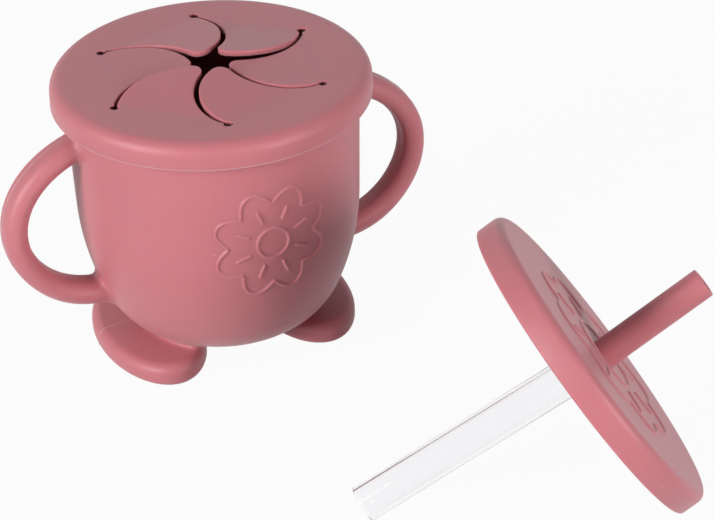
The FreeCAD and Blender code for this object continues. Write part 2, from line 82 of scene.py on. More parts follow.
def makeMottle():  # slow, faint changes of shade and sheen in the moulded rubber
    group, given, result = newGroup(
        "softMottle",
        [("Colour", "NodeSocketColor", (0.5, 0.2, 0.2, 1)), ("Scale", "NodeSocketFloat", 60),
         ("Amount", "NodeSocketFloat", 0.05), ("Roughness", "NodeSocketFloat", 0.5)],
        [("Colour", "NodeSocketColor"), ("Roughness", "NodeSocketFloat")],
    )
    link = group.links.new
    place = addNode(group, "ShaderNodeTexCoord")
    noise = addNode(group, "ShaderNodeTexNoise")
    noise.inputs["Detail"].default_value = 4
    swing = addNode(group, "ShaderNodeMapRange")
    swing.inputs["To Min"].default_value = -1
    shade = addNode(group, "ShaderNodeMath", operation="MULTIPLY_ADD")
    shade.inputs[2].default_value = 1
    tint = addNode(group, "ShaderNodeVectorMath", operation="SCALE")
    sheen = addNode(group, "ShaderNodeMath", operation="MULTIPLY_ADD")
    link(place.outputs["Object"], noise.inputs["Vector"])
    link(given.outputs["Scale"], noise.inputs["Scale"])
    link(noise.outputs["Fac"], swing.inputs["Value"])
    link(swing.outputs["Result"], shade.inputs[0])
    link(given.outputs["Amount"], shade.inputs[1])
    link(given.outputs["Colour"], tint.inputs[0])
    link(shade.outputs["Value"], tint.inputs["Scale"])
    link(swing.outputs["Result"], sheen.inputs[0])
    link(given.outputs["Amount"], sheen.inputs[1])
    link(given.outputs["Roughness"], sheen.inputs[2])
    link(tint.outputs["Vector"], result.inputs["Colour"])
    link(sheen.outputs["Value"], result.inputs["Roughness"])
    return group


def makeGrain():  # the fine matte skin of a moulded surface, as a height
    group, given, result = newGroup(
        "matteGrain", [("Scale", "NodeSocketFloat", 1800)], [("Height", "NodeSocketFloat")]
    )
    place = addNode(group, "ShaderNodeTexCoord")
    noise = addNode(group, "ShaderNodeTexNoise")
    noise.inputs["Detail"].default_value = 3
    group.links.new(place.outputs["Object"], noise.inputs["Vector"])
    group.links.new(given.outputs["Scale"], noise.inputs["Scale"])
    group.links.new(noise.outputs["Fac"], result.inputs["Height"])
    return group


def makeSpecks():  # specks of dust that cling to soft rubber, as a mask
    group, given, result = newGroup(
        "dustSpecks",
        [("Scale", "NodeSocketFloat", 260), ("Reach", "NodeSocketFloat", 0.05)],
        [("Mask", "NodeSocketFloat")],
    )
    link = group.links.new
    place = addNode(group, "ShaderNodeTexCoord")
    cells = addNode(group, "ShaderNodeTexVoronoi", feature="F1")
    near = addNode(group, "ShaderNodeMath", operation="LESS_THAN")
    pick = addNode(group, "ShaderNodeSeparateColor")
    chosen = addNode(group, "ShaderNodeMath", operation="GREATER_THAN")
    chosen.inputs[1].default_value = 0.86  # one cell in seven has a speck
    both = addNode(group, "ShaderNodeMath", operation="MULTIPLY")
    link(place.outputs["Object"], cells.inputs["Vector"])
    link(given.outputs["Scale"], cells.inputs["Scale"])
    link(cells.outputs["Distance"], near.inputs[0])
    link(given.outputs["Reach"], near.inputs[1])
    link(cells.outputs["Color"], pick.inputs["Color"])
    link(pick.outputs["Red"], chosen.inputs[0])
    link(near.outputs["Value"], both.inputs[0])
    link(chosen.outputs["Value"], both.inputs[1])
    link(both.outputs["Value"], result.inputs["Mask"])
    return group


mottleGroup = makeMottle()
grainGroup = makeGrain()
specksGroup = makeSpecks()
print("node groups ready")

# Finishes

siliconeLook = {
    "colour": (0.53, 0.17, 0.196, 1),
    "dustColour": (0.66, 0.36, 0.38, 1),
    "dustScale": 260,
    "dustReach": 0.05,
    "mottleScale": 55,
    "mottleAmount": 0.035,
    "roughness": 0.48,
    "grainScale": 1900,
    "grainBump": 0.10,
    "grainDepth": 0.00006,
    "sheen": 0.15,
    "sheenRoughness": 0.45,
    "specular": 0.4,
    "glow": 0.5,  # light that goes into the rubber and comes out beside
    "glowDepth": 0.0018,
    "glowColour": (1.0, 0.4, 0.35),
}
flashHighlightLook = {**siliconeLook, "colour": (0.66, 0.30, 0.33, 1)}  # paler colour on the thin flash at the mould's seams: a painted highlight for the light its thin edges catch
strawLook = {
    "colour": (0.96, 0.956, 0.966, 1),
    "ior": 1.2,  # thin wall: bends the light little
    "roughness": 0.06,
    "specular": 0.25,
    "hazeScale": 240,
    "hazeAmount": 0.01,
}


def makeSilicone(name, look):
    material = bpy.data.materials.new(name)
    material.use_nodes = True
    tree = material.node_tree
    link = tree.links.new
    skin = tree.nodes["Principled BSDF"]
    mottle = addNode(tree, "ShaderNodeGroup", node_tree=mottleGroup)
    setSockets(mottle, {
        "Colour": look["colour"],
        "Scale": look["mottleScale"],
        "Amount": look["mottleAmount"],
        "Roughness": look["roughness"],
    })
    specks = addNode(tree, "ShaderNodeGroup", node_tree=specksGroup)
    setSockets(specks, {"Scale": look["dustScale"], "Reach": look["dustReach"]})
    dusty = addNode(tree, "ShaderNodeMix", data_type="RGBA")
    dusty.inputs["B"].default_value = look["dustColour"]
    grain = addNode(tree, "ShaderNodeGroup", node_tree=grainGroup)
    grain.inputs["Scale"].default_value = look["grainScale"]
    bump = addNode(tree, "ShaderNodeBump")
    setSockets(bump, {"Strength": look["grainBump"], "Distance": look["grainDepth"]})
    link(mottle.outputs["Colour"], dusty.inputs["A"])
    link(specks.outputs["Mask"], dusty.inputs["Factor"])
    link(dusty.outputs["Result"], skin.inputs["Base Color"])
    link(mottle.outputs["Roughness"], skin.inputs["Roughness"])
    link(grain.outputs["Height"], bump.inputs["Height"])
    link(bump.outputs["Normal"], skin.inputs["Normal"])
    setSockets(skin, {
        "Specular IOR Level": look["specular"],
        "Subsurface Weight": look["glow"],
        "Subsurface Scale": look["glowDepth"],
        "Subsurface Radius": look["glowColour"],
        "Sheen Weight": look["sheen"],
        "Sheen Roughness": look["sheenRoughness"],
    })
    return material


def makeClear(name, look):
    material = bpy.data.materials.new(name)
    material.use_nodes = True
    tree = material.node_tree
    tube = tree.nodes["Principled BSDF"]
    haze = addNode(tree, "ShaderNodeGroup", node_tree=mottleGroup)
    setSockets(haze, {
        "Colour": look["colour"],
        "Scale": look["hazeScale"],
        "Amount": look["hazeAmount"],
        "Roughness": look["roughness"],
    })
    tree.links.new(haze.outputs["Colour"], tube.inputs["Base Color"])
    tree.links.new(haze.outputs["Roughness"], tube.inputs["Roughness"])
    setSockets(tube, {"IOR": look["ior"], "Specular IOR Level": look["specular"], "Transmission Weight": 1})
    return material


silicone = makeSilicone("dustyRoseSilicone", siliconeLook)
mouldFlashHighlight = makeSilicone("mouldFlashPaintedHighlight", flashHighlightLook)
clearPlastic = makeClear("clearStrawPlastic", strawLook)
print("finishes ready")

# Mesh helpers: points are in millimetres


def addObject(name, data):
    thing = bpy.data.objects.new(name, data)
    bpy.context.scene.collection.objects.link(thing)
    return thing


def makePiece(name, points, faces, material, normals=None, sharpAngle=None):
    mesh = bpy.data.meshes.new(name)
    mesh.from_pydata((np.asarray(points, float) * mm).tolist(), [], [list(face) for face in faces])
    mesh.validate()
    mesh.polygons.foreach_set("use_smooth", np.ones(len(mesh.polygons), bool))
    if normals is not None:
        mesh.normals_split_custom_set_from_vertices(np.asarray(normals, float).tolist())
    if sharpAngle is not None:
        mesh.set_sharp_from_angle(angle=math.radians(sharpAngle))
    mesh.materials.append(material)
    piece = addObject(name, mesh)
    return piece


def aimAt(turn):
    return np.array([math.cos(turn), math.sin(turn)])


def fullTurn(count):
    return np.linspace(0, 2 * math.pi, count, endpoint=False)


def unitRows(rows):
    return rows / np.linalg.norm(rows, axis=1)[:, None]


def arcPoints(centre, radius, start, end, count):
    turns = np.radians(np.linspace(start, end, count))
    return [(centre[0] + radius * math.cos(t), centre[1] + radius * math.sin(t)) for t in turns]


def ringFaces(rings, around, closed=True):
    # Quads between rings of as many points each; closed joins the last ring to the first.
    faces = []
    for ring in range(rings if closed else rings - 1):
        here, there = ring * around, (ring + 1) % rings * around
        for n in range(around):
            m = (n + 1) % around
            faces.append((here + n, here + m, there + m, there + n))
    return faces


# Cup: wall, handles and feet are one soft moulding

cup = {
    "height": 79.7,
    "rimRadius": 39.6,
    "rimRound": 0.9,
    "bellyHeight": 44.0,
    "bellyRadius": 38.6,
    "sideRound": 71.0,
    "baseRound": 19.0,
    "baseHeight": 6.2,
    "wall": 2.6,
    "beadRadius": 0.9,
    "beadStand": 0.7,
    "beadDrop": 1.6,
    "handleX": 26.6,
    "handleZ": 44.3,
    "handleReach": 31.7,
    "handleRise": 25.05,
    "handleTilt": 5.5,
    "handleWidth": 9.6,
    "handleThickness": 6.4,
    "handleCorner": 2.9,
    "handleCrown": 0.45,  # how far its outer and inner faces fall away at the sides
    "handleFillet": 2.2,
    "handleLift": 1.7,  # the lower arm turns up by this much on its way into the wall
    "handleLiftRun": (8.0, 24.0),
    "footX": 22.5,
    "footY": 2.2,
    "footWidth": 28.2,
    "footLength": 50.8,
    "footRim": 6.1,
    "footSlope": 3.0,
    "footTopRound": 2.8,
    "footSoleRound": 2.1,
    "footFillet": 2.3,
    "cell": 0.8,  # grid that the skin is drawn from
}


def cupArcs():
    lean = math.atan2(cup["rimRadius"] - cup["bellyRadius"], cup["height"] - cup["bellyHeight"])
    side = (cup["bellyRadius"] - cup["sideRound"] * math.cos(lean),
            cup["bellyHeight"] + cup["sideRound"] * math.sin(lean))
    drop = side[1] - cup["baseHeight"] - cup["baseRound"]
    reach = math.sqrt((cup["sideRound"] - cup["baseRound"]) ** 2 - drop**2)
    corner = (side[0] + reach, cup["baseHeight"] + cup["baseRound"])
    return lean, side, corner, -math.atan2(drop, reach)


wallLean, sideCentre, cornerCentre, arcsMeet = cupArcs()


def cupGap(r, z):
    # How far a point is outside the cup's skin: wall, side round, base round or base.
    wall = (r - cup["bellyRadius"]) * math.cos(wallLean) - (z - cup["bellyHeight"]) * math.sin(wallLean)
    side = np.hypot(r - sideCentre[0], z - sideCentre[1]) - cup["sideRound"]
    corner = np.hypot(r - cornerCentre[0], z - cornerCentre[1]) - cup["baseRound"]
    low = np.where(r > cornerCentre[0], corner, cup["baseHeight"] - z)
    aim = np.arctan2(z - sideCentre[1], r - sideCentre[0])
    return np.where(aim > -wallLean, wall, np.where(aim > arcsMeet, side, low))


def cupRadius(z):
    # The skin's radius at a height above the base round.
    if z > sideCentre[1] - cup["sideRound"] * math.sin(wallLean):
        return cup["bellyRadius"] + (z - cup["bellyHeight"]) * math.tan(wallLean)
    return sideCentre[0] + math.sqrt(cup["sideRound"] ** 2 - (z - sideCentre[1]) ** 2)


def ellipseGap(u, v, a, b):
    # Signed distance to an ellipse, found by stepping to its nearest point.
    t = np.arctan2(v * a, u * b)
    stride = 0.4  # longest step, in radians
    for _ in range(4):
        c, s = np.cos(t), np.sin(t)
        slope = (b * b - a * a) * s * c + u * a * s - v * b * c
        bend = (b * b - a * a) * (c * c - s * s) + u * a * c + v * b * s
        t = t - np.clip(slope / np.maximum(bend, a), -stride, stride)
    gap = np.hypot(u - a * np.cos(t), v - b * np.sin(t))
    return np.where((u / a) ** 2 + (v / b) ** 2 > 1, gap, -gap)


def roundedMeet(a, b, radius):  # inside both, with a rounded edge
    a, b = a + radius, b + radius
    return np.minimum(np.maximum(a, b), 0) + np.hypot(np.maximum(a, 0), np.maximum(b, 0)) - radius


def filletJoin(a, b, radius):  # inside either, with a fillet between them
    near = np.hypot(np.maximum(radius - a, 0), np.maximum(radius - b, 0))
    return np.maximum(radius, np.minimum(a, b)) - near


def handleGap(x, y, z):
    tilt = math.radians(cup["handleTilt"])
    out, up = x - cup["handleX"], z - cup["handleZ"]
    u, v = out * math.cos(tilt) + up * math.sin(tilt), up * math.cos(tilt) - out * math.sin(tilt)
    near, far = cup["handleLiftRun"]
    inward = np.clip((far - u) / (far - near), 0, 1)
    v = np.where(v < 0, v - cup["handleLift"] * inward**2 * np.clip(-v / cup["handleThickness"], 0, 1), v)
    across = np.abs(ellipseGap(u, v, cup["handleReach"], cup["handleRise"])) - cup["handleThickness"] / 2
    aside = np.abs(y) - cup["handleWidth"] / 2
    crown = cup["handleCrown"] * np.minimum(np.abs(2 * y / cup["handleWidth"]), 1) ** 2
    return roundedMeet(across + crown, aside, cup["handleCorner"])


def footGap(x, y, z):
    slope = math.radians(cup["footSlope"])
    side = ellipseGap(y - cup["footY"], x - cup["footX"], cup["footLength"] / 2, cup["footWidth"] / 2)
    outerEnd = cup["footX"] + cup["footWidth"] / 2
    top = (z - cup["footRim"] - (outerEnd - x) * math.tan(slope)) * math.cos(slope)
    pad = roundedMeet(side, top, cup["footTopRound"])
    return roundedMeet(pad, -z, cup["footSoleRound"])


def mouldingGap(points):
    x, y, z = np.abs(points[..., 0]), points[..., 1], points[..., 2]
    r = np.hypot(x, y)
    skin = cupGap(r, z)
    solid = filletJoin(skin, handleGap(x, y, z), cup["handleFillet"])
    solid = filletJoin(solid, footGap(x, y, z), cup["footFillet"])
    shell = np.maximum(solid, -(skin + cup["wall"]))
    beadAt = (cup["rimRadius"] + cup["beadStand"] - cup["beadRadius"], cup["height"] - cup["beadDrop"])
    bead = np.hypot(r - beadAt[0], z - beadAt[1]) - cup["beadRadius"]
    shell = filletJoin(shell, np.maximum(bead, -(skin + cup["wall"])), cup["beadRadius"])
    return roundedMeet(shell, z - cup["height"], cup["rimRound"])


def fieldSlope(field, points, probe=0.01):
    slope = np.zeros_like(points)
    for axis in range(3):
        step = np.zeros(3)
        step[axis] = probe
        slope[:, axis] = (field(points + step) - field(points - step)) / (2 * probe)
    return slope


def skinFromField(field, low, high, cell):
    # One point in each grid cell that the skin crosses, joined by quads, then settled on the skin.
    axes = [np.arange(a, b + cell, cell) for a, b in zip(low, high)]
    value = field(np.stack(np.meshgrid(*axes, indexing="ij"), -1))
    inside = value < 0
    corners = [inside[i:i - 1 or None, j:j - 1 or None, k:k - 1 or None].astype(int)
               for i in (0, 1) for j in (0, 1) for k in (0, 1)]
    filled = sum(corners)
    cells = np.argwhere((filled > 0) & (filled < 8))
    index = np.full(filled.shape, -1)
    index[tuple(cells.T)] = np.arange(len(cells))
    total, hits = np.zeros((len(cells), 3)), np.zeros(len(cells))
    for axis in range(3):
        u, v = [other for other in range(3) if other != axis]
        for i in (0, 1):
            for j in (0, 1):
                start = cells.copy()
                start[:, u] += i
                start[:, v] += j
                end = start.copy()
                end[:, axis] += 1
                a, b = value[tuple(start.T)], value[tuple(end.T)]
                crossed = (a < 0) != (b < 0)
                spot = start.astype(float)
                spot[crossed, axis] += a[crossed] / (a[crossed] - b[crossed])
                total[crossed] += spot[crossed]
                hits += crossed
    points = np.array(low) + cell * total / hits[:, None]
    quads = []
    for axis in range(3):
        u, v = (axis + 1) % 3, (axis + 2) % 3
        count = inside.shape[axis]
        first, second = inside.take(range(count - 1), axis), inside.take(range(1, count), axis)
        for leaving in (True, False):
            edges = np.argwhere((first & ~second) if leaving else (~first & second))
            around = []
            for i, j in ((1, 1), (0, 1), (0, 0), (1, 0)):
                at = edges.copy()
                at[:, u] -= i
                at[:, v] -= j
                around.append(index[tuple(at.T)])
            quads.append(np.stack(around if leaving else around[::-1], 1))
    leastSlope = 0.25  # keeps points at creases from jumping
    for _ in range(4):
        slope = fieldSlope(field, points)
        points = points - (field(points) / np.maximum((slope**2).sum(1), leastSlope))[:, None] * slope
    slope = fieldSlope(field, points)
    return points, np.concatenate(quads), unitRows(slope)


def makeCup():
    reach = cup["handleX"] + cup["handleReach"] + cup["handleThickness"]
    side = cup["rimRadius"] + 2 * cup["beadRadius"]
    spare = 1.0  # empty room above and below
    points, quads, normals = skinFromField(
        mouldingGap, (-reach, -side, -spare), (reach, side, cup["height"] + spare), cup["cell"]
    )
    piece = makePiece("cup_moulding", points, quads, silicone, normals=normals)
    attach(piece, "cup")
    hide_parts(*frame["record"]["behaviour"]["bodies"]["cup"])
    print("cup moulding:", len(quads), "faces")


makeCup()

# Lids: a deck with a rolled edge, a skirt outside the rim and a lip inside it

lid = {
    "radius": 43.0,
    "deck": 1.6,
    "skirtDepth": 7.4,
    "hemRound": 0.6,
    "skirtInside": 40.6,
    "lipOutside": 36.7,
    "lipInside": 35.1,
    "lipDepth": 4.0,
    "lipRound": 0.7,
    "innerRound": 0.3,
    "flatBand": 2,  # flat ring kept beside the roll and the lip
    "around": 240,
}


def lidOutline(roll):
    # From the deck's flat top over the roll, round the hem and the lip, to the flat underside.
    rollAt = (lid["radius"] - roll, -roll)
    hemZ, lipZ, under = -lid["skirtDepth"], -lid["deck"] - lid["lipDepth"], -lid["deck"]
    hem, edge, lip = lid["hemRound"], lid["innerRound"], lid["lipRound"]
    outline = [(lid["radius"] - roll - lid["flatBand"], 0)]
    outline += arcPoints(rollAt, roll, 90, 0, 12)
    outline += arcPoints((lid["radius"] - hem, hemZ + hem), hem, 0, -90, 5)
    outline += arcPoints((lid["skirtInside"] + edge, hemZ + edge), edge, -90, -180, 4)
    outline += arcPoints((lid["skirtInside"] - edge, under - edge), edge, 0, 90, 4)
    outline += arcPoints((lid["lipOutside"] + edge, under - edge), edge, 90, 180, 4)
    outline += arcPoints((lid["lipOutside"] - lip, lipZ + lip), lip, 0, -90, 5)
    outline += arcPoints((lid["lipInside"] + lip, lipZ + lip), lip, -90, -180, 5)
    outline += arcPoints((lid["lipInside"] - edge, under - edge), edge, 0, 90, 4)
    return outline + [(lid["lipInside"] - lid["flatBand"], under)]


def turnedRings(outline, turns):
    return [(r * math.cos(t), r * math.sin(t), z) for r, z in outline for t in turns]


# Snack lid with its window, and the flaps that fill it

snack = {
    "roll": 3.5,
    "slitEndRadius": 31.6,
    "slitTurn": 16.3,
    "slitRake": 42.5,
    "slitWidth": 1.05,
    "slitHole": 1.25,
    "holeFlare": 0.9,  # how much wider the holes are under the deck
    "leadRound": 17.6,
    "trailRound": 19.5,
    "tipRound": 2.75,
    "rises": (3.65, 3.2, 1.4, 3.4, 3.3, 1.6),  # how far each flap stands above the deck at the lid's centre
    "bendSoft": 0.12,  # share of a flap's length in which it leaves the deck's plane
    "edgeRound": 0.2,
    "midRound": 0.293,  # how far the middle of a rounding lies in from each face, in radii
    "collar": 0.6,  # flat band beside the rounded edges
    "collarSwing": 0.8,  # share of a hole's arc that the band follows
    "collarRun": 3,  # stretch beside the hinge in which the band grows
    "holeSteps": 13,
    "hingeSteps": 26,
    "sideSteps": 30,
    "rowSteps": 16,
    "bendLength": 9.0,  # stretch beside the hinge that bends
    "count": 6,
}
flapStep = 360 / snack["count"]
apothem = snack["slitEndRadius"] * math.cos(math.radians(flapStep / 2))
halfSide = snack["slitEndRadius"] * math.sin(math.radians(flapStep / 2))
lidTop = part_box("snack_lid")[1].z / mm


def flapPlace(number, height):
    # From a flap's plan, with X along its hinge and Y to the lid's centre, to the frame.
    middle = math.radians(snack["slitTurn"] + (number + 0.5) * flapStep)
    base = Matrix.Translation((apothem * math.cos(middle), apothem * math.sin(middle), height))
    return base @ Matrix.Rotation(middle + math.pi / 2, 4, "Z")


def moved(matrix, points):
    points = np.asarray(points, float)
    m = np.array(matrix)
    return points @ m[:3, :3].T + m[:3, 3]


def makeSnackLid():
    # The window's edge: a round hole at each slit's end, and straight hinges between the holes.
    hole, edge = snack["slitHole"], snack["edgeRound"]
    collar = snack["collar"]
    wallLoop, deckLoop, collarLoop = [], [], []
    for number in range(snack["count"]):
        corner = math.radians(snack["slitTurn"] + number * flapStep)
        middle = aimAt(corner) * snack["slitEndRadius"]
        swing = np.radians(np.linspace(-90 - flapStep / 2, 90 + flapStep / 2, snack["holeSteps"]))
        for s in swing:
            away = aimAt(corner + s)
            wallLoop.append(middle + away * hole)
            deckLoop.append(middle + away * (hole + edge))
            collarLoop.append(middle + aimAt(corner + s * snack["collarSwing"]) * (hole + edge + collar))
        nextMiddle = aimAt(corner + math.radians(flapStep)) * snack["slitEndRadius"]
        along = (nextMiddle - middle) / np.linalg.norm(nextMiddle - middle)
        span = np.linspace(hole + edge, 2 * halfSide - hole - edge, snack["hingeSteps"])
        for s in span:
            wallLoop.append(middle + along * s)
            deckLoop.append(middle + along * s)
            shrunk = halfSide + (s - halfSide) * (1 - 2 * collar / halfSide)
            collarLoop.append(middle + along * shrunk + np.array([along[1], -along[0]]) * collar)
    around = len(wallLoop)
    wallLoop, deckLoop, collarLoop = np.array(wallLoop), np.array(deckLoop), np.array(collarLoop)
    onHinge = np.isclose(wallLoop, deckLoop).all(1)
    onward = 2 * math.pi / around
    turns = math.radians(snack["slitTurn"]) + (np.arange(around) - (snack["holeSteps"] - 1) / 2) * onward
    rings = []
    mid = snack["midRound"]
    for drop, inset in ((edge, 0.0), (edge * mid, mid), (0.0, 1.0)):
        flat = wallLoop + (deckLoop - wallLoop) * inset
        depth = np.where(onHinge, 0.0, -drop)
        rings.append(np.column_stack([flat, depth]))
    rings.append(np.column_stack([collarLoop, np.zeros(around)]))
    outer = np.array(turnedRings(lidOutline(snack["roll"]), turns)).reshape(-1, around, 3)
    rings += list(outer)
    under = -lid["deck"]
    flared = wallLoop + (deckLoop - wallLoop) * snack["holeFlare"] / edge
    rings.append(np.column_stack([flared, np.full(around, under)]))
    points = np.concatenate(rings) + (0, 0, lidTop)
    faces = [face[::-1] for face in ringFaces(len(rings), around)]
    piece = makePiece("snack_lid_shell", points, faces, silicone, sharpAngle=50)
    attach(piece, "snack_lid")
    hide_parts("snack_lid")
    print("snack lid shell:", len(faces), "faces")


def circlesCross(a, ra, b, rb, turn):
    # Where two circles cross, on the left of the way from a to b for turn 1 and on the right for -1.
    a, b = np.array(a), np.array(b)
    apart = np.linalg.norm(b - a)
    along = (apart**2 + ra**2 - rb**2) / (2 * apart)
    aside = math.sqrt(max(ra**2 - along**2, 0))
    unit = (b - a) / apart
    return a + along * unit + turn * aside * np.array([-unit[1], unit[0]])


def walkArc(centre, start, end, count, clockwise):
    # Points along a circle's arc between two of its points, without the last.
    centre, start, end = np.array(centre), np.array(start), np.array(end)
    radius = np.linalg.norm(start - centre)
    first = math.atan2(*(start - centre)[::-1])
    last = math.atan2(*(end - centre)[::-1])
    sweep = (last - first) % (2 * math.pi)
    if clockwise:
        sweep -= 2 * math.pi
    turns = first + sweep * np.arange(count) / count
    return [centre + radius * aimAt(t) for t in turns]


def flapOutline():
    # Left and right edge of a flap, each from its hinge to the middle of its tip.
    lead = math.radians(90 - flapStep / 2 - snack["slitRake"])
    trail = math.radians(90 + flapStep / 2 - snack["slitRake"])
    leadArm = snack["slitWidth"] / 2 + snack["leadRound"]
    trailArm = snack["trailRound"] - snack["slitWidth"] / 2
    leadAt = (leadArm * math.cos(lead) - halfSide, leadArm * math.sin(lead))
    trailAt = (trailArm * math.cos(trail) + halfSide, trailArm * math.sin(trail))
    leadRound, trailRound, tip = snack["leadRound"], snack["trailRound"], snack["tipRound"]
    tipAt = circlesCross(leadAt, leadRound - tip, trailAt, trailRound + tip, 1)
    leadTip = np.array(leadAt) + (tipAt - leadAt) * leadRound / (leadRound - tip)
    trailTip = np.array(trailAt) + (tipAt - trailAt) * trailRound / (trailRound + tip)
    half = leadTip + trailTip - 2 * tipAt
    tipMiddle = tipAt + half / np.linalg.norm(half) * tip
    hole, steps = snack["slitHole"], snack["sideSteps"]
    left = (-halfSide, 0)
    leadFoot = circlesCross(left, hole, leadAt, leadRound, 1)
    trailFoot = (trailAt[0] - math.sqrt(trailRound**2 - trailAt[1] ** 2), 0)
    holeSteps, tipSteps = 5, 5
    leftEdge = walkArc(left, (hole - halfSide, 0), leadFoot, holeSteps, False)
    leftEdge += walkArc(leadAt, leadFoot, leadTip, steps, True)
    leftEdge += walkArc(tipAt, leadTip, tipMiddle, tipSteps, True)
    rightEdge = walkArc(trailAt, trailFoot, trailTip, holeSteps + steps, True)
    rightEdge += walkArc(tipAt, trailTip, tipMiddle, tipSteps, False)
    return leftEdge, rightEdge, tipMiddle


def makeFlap(number, leftEdge, rightEdge, tipMiddle):
    # A plate between the two edges, rounded along them, that rises towards its tip.
    loop = np.array(leftEdge + [tipMiddle] + rightEdge[::-1])
    ahead = np.roll(loop, -1, 0) - np.roll(loop, 1, 0)
    ahead[0], ahead[-1] = loop[1] - loop[0], loop[-1] - loop[-2]
    inward = unitRows(np.column_stack([ahead[:, 1], -ahead[:, 0]]))
    inward[0], inward[-1] = (1, 0), (-1, 0)
    edge, deck = snack["edgeRound"], lid["deck"]
    rows = len(leftEdge)
    points, faces = [], []

    def addLoop(inset, z):
        points.extend(np.column_stack([loop + inward * np.reshape(inset, (-1, 1)), np.full(len(loop), z)]))
        return len(points) - len(loop)

    def joinLoops(a, b):
        for n in range(len(loop) - 1):
            faces.append((a + n, a + n + 1, b + n + 1, b + n))

    def fillRows(first, up):
        # Rows of quads across the plate between the two edges, to one triangle fan at the tip.
        last = first + len(loop) - 1
        grid = []
        for n in range(rows):
            a, b = points[first + n], points[last - n]
            between = [len(points) + k for k in range(snack["rowSteps"] - 1)]
            for k in range(1, snack["rowSteps"]):
                points.append(a + (b - a) * k / snack["rowSteps"])
            grid.append([first + n] + between + [last - n])
        for here, there in zip(grid, grid[1:]):
            for k in range(snack["rowSteps"]):
                quad = (here[k], here[k + 1], there[k + 1], there[k])
                faces.append(quad if up else quad[::-1])
        for k in range(snack["rowSteps"]):
            fan = (grid[-1][k], grid[-1][k + 1], first + rows)
            faces.append(fan if up else fan[::-1])
        return grid[0]

    band = snack["collar"] * np.clip(loop[:, 1] / snack["collarRun"], 0, 1)
    mid = edge * snack["midRound"]
    loops = [addLoop(edge + band, 0), addLoop(edge, 0), addLoop(mid, -mid)]
    loops += [addLoop(0, -edge), addLoop(0, edge - deck), addLoop(edge, -deck)]
    for a, b in zip(loops, loops[1:]):
        joinLoops(a, b)
    topRow = fillRows(loops[0], True)
    underRow = fillRows(loops[-1], False)
    leftEnd = loops[1:-1]
    rightEnd = [a + len(loop) - 1 for a in leftEnd]
    faces.append(topRow[::-1] + leftEnd + underRow + rightEnd[::-1])
    points = np.array(points)
    share, soft = np.clip(points[:, 1] / apothem, 0, 1), snack["bendSoft"]
    points[:, 2] += snack["rises"][number] * (np.hypot(share, soft) - soft) / (math.hypot(1, soft) - soft)
    place = flapPlace(number, lidTop)
    name = "flap_%d" % (number + 1)
    skin = "flap_skin_%d" % (number + 1)
    piece = makePiece(skin, moved(place, points), faces, silicone, sharpAngle=50)
    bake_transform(piece)
    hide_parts(name)


makeSnackLid()
flapEdges = flapOutline()
for flapNumber in range(snack["count"]):
    makeFlap(flapNumber, *flapEdges)
print("flaps ready")

# Straw lid, spout and straw

strawSet = {
    "roll": 2.4,
    "x": 57.2,
    "y": -112.2,
    "turn": -13.0,
    "lean": 34.3,
    "spoutRadius": 3.86,
    "spoutBore": 2.6,
    "spoutRise": 30.4,
    "spoutFit": 0.1,
    "spoutRimRound": 0.35,
    "flangeRadius": 6.2,
    "flangeThickness": 1.5,
    "stemLength": 9.0,
    "strawWall": 0.9,
    "strawFit": 0.09,
    "strawSeat": 1.3,
    "strawRimRound": 0.2,
    "stemSlope": 6,  # room for the angle between stem and flange, in degrees
    "rimRun": 1.5,  # from the spout's rim to its next ring
    "boreFlat": 3,  # flat rings on the lid start this far from the hole
    "rollFlat": 4,  # and end this far from the roll and the lip
    "flatRings": 8,
    "around": 96,
}


def setPlace():
    # The lid leans on its hem, which sets its height.
    lean = math.radians(strawSet["lean"])
    hem = lid["hemRound"]
    z = (lid["radius"] - hem) * math.cos(lean) + (lid["skirtDepth"] - hem) * math.sin(lean) + hem
    turn = Matrix.Rotation(math.radians(strawSet["turn"]), 4, "Z")
    turn = turn @ Matrix.Rotation(math.pi / 2 - lean, 4, "Y")
    return Matrix.Translation((strawSet["x"], strawSet["y"], z)) @ turn


lidPlace = setPlace()
strawJoint = next(joint for joint in frame["joints"] if joint["name"] == "spout_off_straw")
strawSlope = math.asin(strawJoint["axis"][2])


def makeStrawLid():
    turns = fullTurn(lid["around"])
    hole, edge = strawSet["spoutRadius"] + strawSet["spoutFit"], lid["innerRound"]
    inside = arcPoints((hole + edge, -edge), edge, 180, 90, 4)
    near, far, count = hole + strawSet["boreFlat"], strawSet["rollFlat"], strawSet["flatRings"]
    flats = [(r, 0) for r in np.linspace(near, lid["radius"] - strawSet["roll"] - far, count)]
    underside = [(r, -lid["deck"]) for r in np.linspace(lid["lipInside"] - far, near, count)]
    underside += arcPoints((hole + edge, edge - lid["deck"]), edge, -90, -180, 4)
    outline = inside + flats + lidOutline(strawSet["roll"]) + underside
    points = moved(lidPlace, turnedRings(outline, turns))
    faces = [face[::-1] for face in ringFaces(len(outline), len(turns))]
    piece = makePiece("straw_lid_shell", points, faces, silicone, sharpAngle=50)
    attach(piece, "straw_lid")
    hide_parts("straw_lid")
    print("straw lid shell:", len(faces), "faces")


def bendPlace():
    # The straw's own axis, which starts inside the spout's flange and slopes to the table.
    depth = lid["deck"] + strawSet["flangeThickness"] / 2
    axis = strawJoint["axis"]
    turn = Matrix.Rotation(math.atan2(axis[1], axis[0]), 4, "Z")
    turn = turn @ Matrix.Rotation(math.pi / 2 - strawSlope, 4, "Y")
    return Matrix.Translation(lidPlace @ Vector((0, 0, -depth))) @ turn


strawPlace = bendPlace()


def tubeRings(sections, turns):
    # Each section is a place, a radius and a height on that place's axis.
    rings = []
    for place, radius, height in sections:
        rings.append(moved(place, [(radius * math.cos(t), radius * math.sin(t), height) for t in turns]))
    return np.concatenate(rings)


